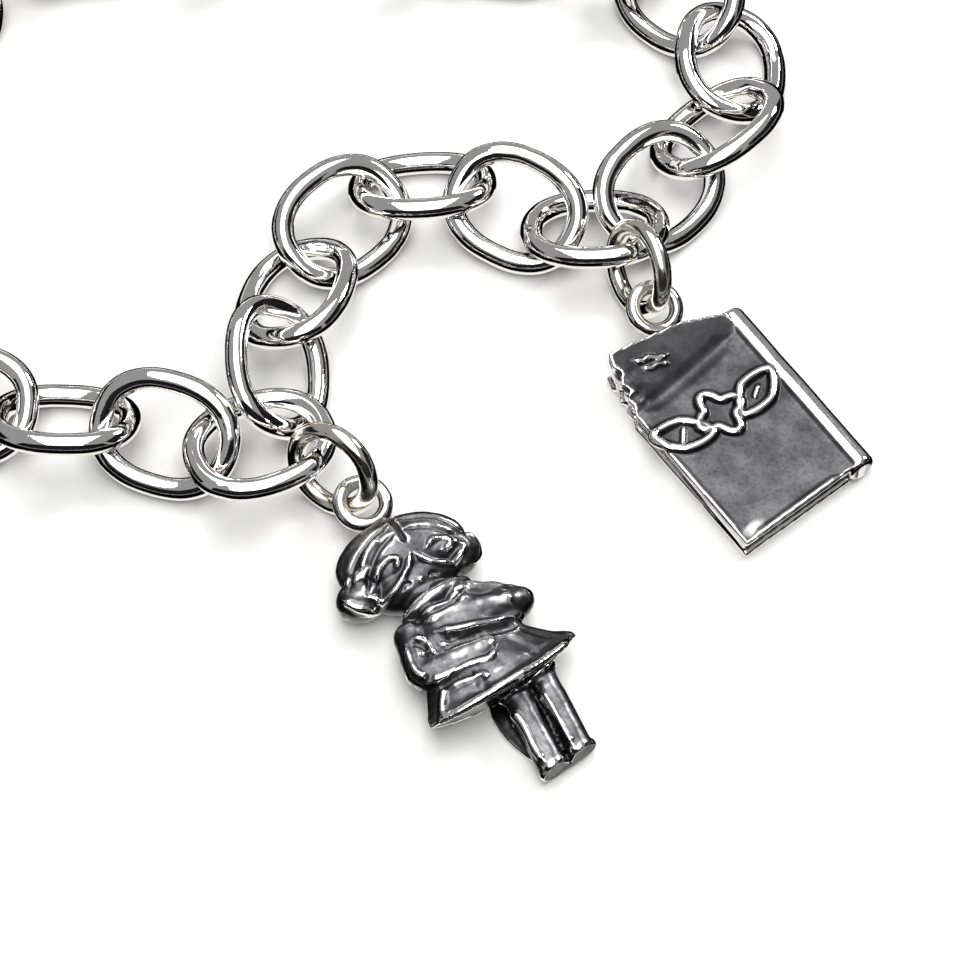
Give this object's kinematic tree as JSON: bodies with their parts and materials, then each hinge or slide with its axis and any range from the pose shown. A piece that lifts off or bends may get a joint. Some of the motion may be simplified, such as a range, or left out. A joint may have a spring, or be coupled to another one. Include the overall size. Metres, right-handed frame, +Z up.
{
  "type": "charm bracelet",
  "caption": "Silver-coloured oval cable chain bracelet, closed and lying flat, with a small cast girl figure and a small cast closed book hanging on jump rings.",
  "frame": {"origin": "centre of the lying bracelet's bounding box, on the surface it lies on", "axes": "+Z up from the surface it lies on, +Y away from the side that the figure charm hangs on, +X to the side of the book charm"},
  "size_m": [0.077, 0.0808, 0.0075],
  "materials": {
    "polished_silver": "polished",
    "oxidised_silver": "oxidised in the recesses, worn bright on raised edges"
  },
  "bodies": {
    "root": {"link_01": "polished_silver", "link_02": "polished_silver", "link_03": "polished_silver", "link_04": "polished_silver", "link_05": "polished_silver", "link_06": "polished_silver", "link_07": "polished_silver", "link_08": "polished_silver", "link_09": "polished_silver", "link_10": "polished_silver", "link_11": "polished_silver", "link_12": "polished_silver", "link_13": "polished_silver", "link_14": "polished_silver", "link_15": "polished_silver", "link_16": "polished_silver", "link_17": "polished_silver", "link_18": "polished_silver", "link_19": "polished_silver", "link_20": "polished_silver", "link_21": "polished_silver", "link_22": "polished_silver", "link_23": "polished_silver", "link_24": "polished_silver", "link_25": "polished_silver", "clasp": "polished_silver", "figure_jump_ring": "polished_silver", "book_jump_ring": "polished_silver", "figure_charm": "oxidised_silver", "book_charm": "oxidised_silver"}
  },
  "joints": []
}
